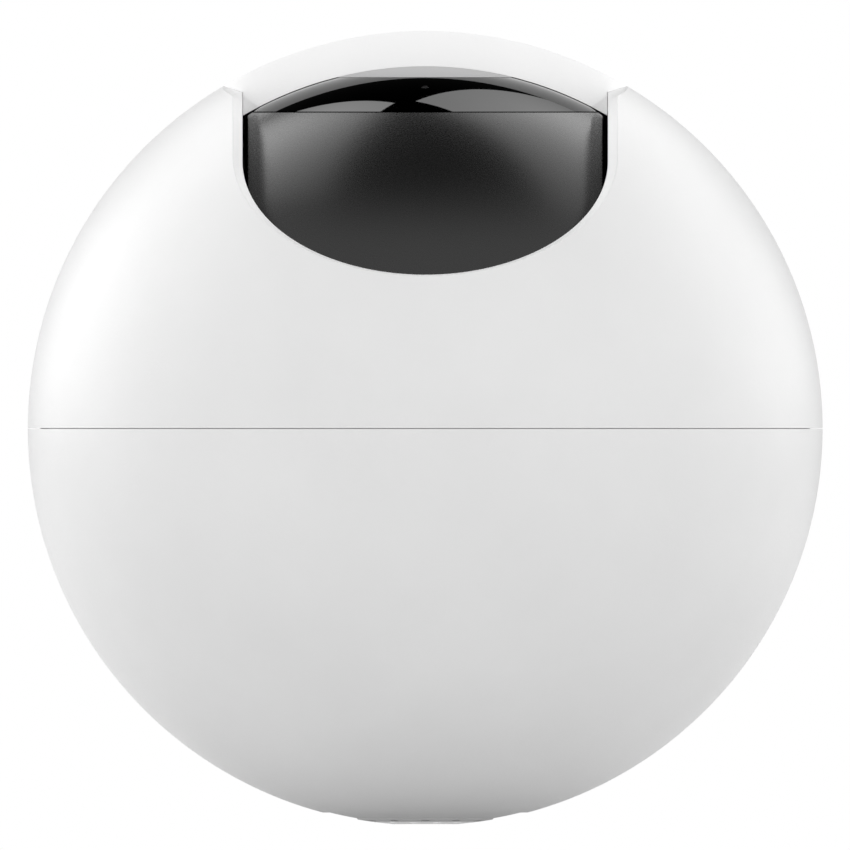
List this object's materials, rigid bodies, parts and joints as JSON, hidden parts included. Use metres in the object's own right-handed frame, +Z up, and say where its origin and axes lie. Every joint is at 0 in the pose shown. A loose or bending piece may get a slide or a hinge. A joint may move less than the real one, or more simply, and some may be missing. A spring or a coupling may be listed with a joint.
{
  "type": "security camera",
  "caption": "Ball-shaped indoor security camera: white split shell, panning upper half and a black tilting eye with a flat lens window.",
  "frame": {"origin": "centre of the ball, where the pan axis and the tilt axis cross", "axes": "+Z up along the pan axis, -Y to the front, X along the tilt axis"},
  "size_m": [0.09, 0.09, 0.0898],
  "materials": {
    "white_shell": "fine moulded grain, satin white",
    "soft_lip": "soft white lip, matt",
    "eye_black": "satin black moulding",
    "cap_black": "polished black, tinted",
    "window_glass": "smoked flat glass",
    "lens_glass": "coated lens",
    "frame_plastic": "moulded grey-white frame",
    "gear_plastic": "acetal",
    "brass": "turned brass",
    "steel": "plated steel",
    "board": "solder-masked circuit board",
    "chip_black": "moulded chip body",
    "foam": "closed-cell gasket",
    "button_grey": "fine matt button",
    "clear_pipe": "light pipe"
  },
  "bodies": {
    "base": {"lower_shell": "white_shell", "grille_cap": "white_shell", "tripod_insert": "brass", "speaker_gasket": "foam", "speaker": "chip_black", "main_board": "board", "board_chips": "chip_black", "antenna_board": "board", "board_screws": "steel", "base_frame": "frame_plastic", "frame_screws": "steel", "pan_bush": "brass", "pan_motor": "steel", "pan_motor_screws": "steel", "port_board": "board", "usb_socket": "steel", "card_socket": "steel", "reset_switch": "chip_black"},
    "reset_button": {"reset_button": "button_grey"},
    "pan_pinion": {"pan_pinion": "brass"},
    "head": {"upper_shell": "white_shell", "crown_cover": "white_shell", "wiper_lip": "soft_lip", "head_chassis": "frame_plastic", "shell_screws": "steel", "pan_gear": "gear_plastic", "hub_ring": "steel", "yoke_left": "frame_plastic", "yoke_right": "frame_plastic", "yoke_screws": "steel", "bush_left": "brass", "bush_right": "brass", "tilt_bracket": "steel", "bracket_screws": "steel", "tilt_motor": "steel", "tilt_motor_screws": "steel"},
    "tilt_pinion": {"tilt_pinion": "brass"},
    "eye": {"eye_shell": "eye_black", "eye_cap": "cap_black", "lens_window": "window_glass", "status_light": "clear_pipe", "lens_barrel": "chip_black", "front_lens": "lens_glass", "ir_board": "board", "ir_leds": "clear_pipe", "lens_plate": "steel", "plate_screws": "steel", "sensor_board": "board", "image_sensor": "lens_glass", "pin_left": "steel", "pin_right": "steel", "tilt_gear": "gear_plastic"}
  },
  "joints": [
    {"name": "pan", "type": "hinge", "parent": "base", "child": "head", "pos_m": [0, 0, 0], "axis": [0, 0, 1], "range_deg": [-175, 175]},
    {"name": "tilt", "type": "hinge", "parent": "head", "child": "eye", "pos_m": [0, 0, 0], "axis": [1, 0, 0], "range_deg": [0, 40], "deforming": ["wiper_lip"]},
    {"name": "pan_drive", "type": "hinge", "parent": "base", "child": "pan_pinion", "pos_m": [0, -0.018, 0], "axis": [0, 0, 1], "range_deg": [-710, 710]},
    {"name": "tilt_drive", "type": "hinge", "parent": "head", "child": "tilt_pinion", "pos_m": [0, 0.012, 0], "axis": [1, 0, 0], "range_deg": [-125, 5]},
    {"name": "reset_press", "type": "slide", "parent": "base", "child": "reset_button", "axis": [0, -1, 0], "range_m": [0, 0.0005], "stiffness_N_per_m": 200}
  ],
  "couplings": [
    {"joint": "pan_drive", "follows": "pan", "ratio": -4},
    {"joint": "tilt_drive", "follows": "tilt", "ratio": -3}
  ]
}
